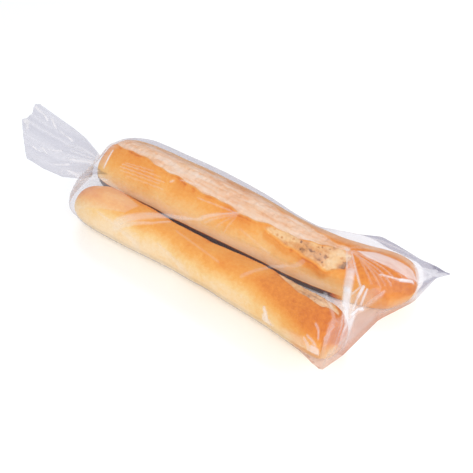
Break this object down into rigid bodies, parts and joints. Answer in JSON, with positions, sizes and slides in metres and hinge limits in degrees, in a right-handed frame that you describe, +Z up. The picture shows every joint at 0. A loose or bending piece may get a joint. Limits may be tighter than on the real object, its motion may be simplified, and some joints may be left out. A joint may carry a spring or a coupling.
{
  "type": "bag of baguettes",
  "caption": "Clear film bag holding long crusty loaves side by side, lying down, gathered to a fan tail at one end and sealed straight across the other.",
  "frame": {"origin": "on the surface the bag lies on, under the middle of its bounding box", "axes": "+X along the bag towards its sealed end, +Y to the rear across the bag, +Z up"},
  "size_m": [0.5384, 0.1896, 0.0672],
  "materials": {
    "film": "clear glossy thin film",
    "crust": "matte baked crust"
  },
  "bodies": {
    "root": {"bag": "film"}
  },
  "joints": []
}
